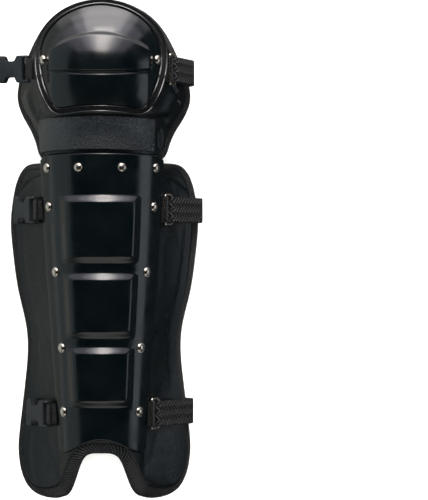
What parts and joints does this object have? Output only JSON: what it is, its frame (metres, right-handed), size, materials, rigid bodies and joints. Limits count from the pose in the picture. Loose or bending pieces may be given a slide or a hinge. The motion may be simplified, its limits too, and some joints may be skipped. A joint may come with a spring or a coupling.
{
  "type": "umpire leg guard",
  "caption": "Padded leg guard with a moulded shin plate and knee cap, riveted over leather-faced pads with elastic straps and side-release buckles.",
  "frame": {"origin": "middle of the guard's outline in plan, on the surface that it lies on", "axes": "+Y from the foot lobes to the knee, +X towards the side of the elastic straps, +Z out of the hard side"},
  "size_m": [0.1899, 0.4652, 0.1067],
  "materials": {
    "shell": "black gloss moulded ABS",
    "pad": "black grained synthetic leather",
    "tape": "black woven binding tape",
    "webbing": "black ribbed webbing",
    "elastic": "black herringbone elastic",
    "buckle": "black moulded acetal",
    "metal": "nickel-plated steel"
  },
  "bodies": {
    "root": {"shin_plate": "shell", "knee_cap": "shell", "cap_welt": "tape", "knee_pad": "pad", "knee_pad_binding": "tape", "neck_panel": "pad", "shin_pad": "pad", "shin_pad_binding": "tape", "rivet_1": "metal", "rivet_2": "metal", "rivet_3": "metal", "rivet_4": "metal", "rivet_5": "metal", "rivet_6": "metal", "rivet_7": "metal", "rivet_8": "metal", "rivet_9": "metal", "rivet_10": "metal", "rivet_11": "metal", "rivet_12": "metal", "rivet_13": "metal", "rivet_14": "metal", "loop_tab_top": "webbing", "loop_tab_middle": "webbing", "loop_tab_bottom": "webbing", "wire_loop_top": "metal", "wire_loop_middle": "metal", "wire_loop_bottom": "metal", "elastic_strap_top": "elastic", "elastic_strap_middle": "elastic", "elastic_strap_bottom": "elastic", "male_buckle_top": "buckle", "male_buckle_middle": "buckle", "male_buckle_bottom": "buckle", "buckle_tab_top": "webbing", "buckle_tab_middle": "webbing", "buckle_tab_bottom": "webbing", "female_buckle_top": "buckle", "female_buckle_middle": "buckle", "female_buckle_bottom": "buckle"}
  },
  "joints": []
}
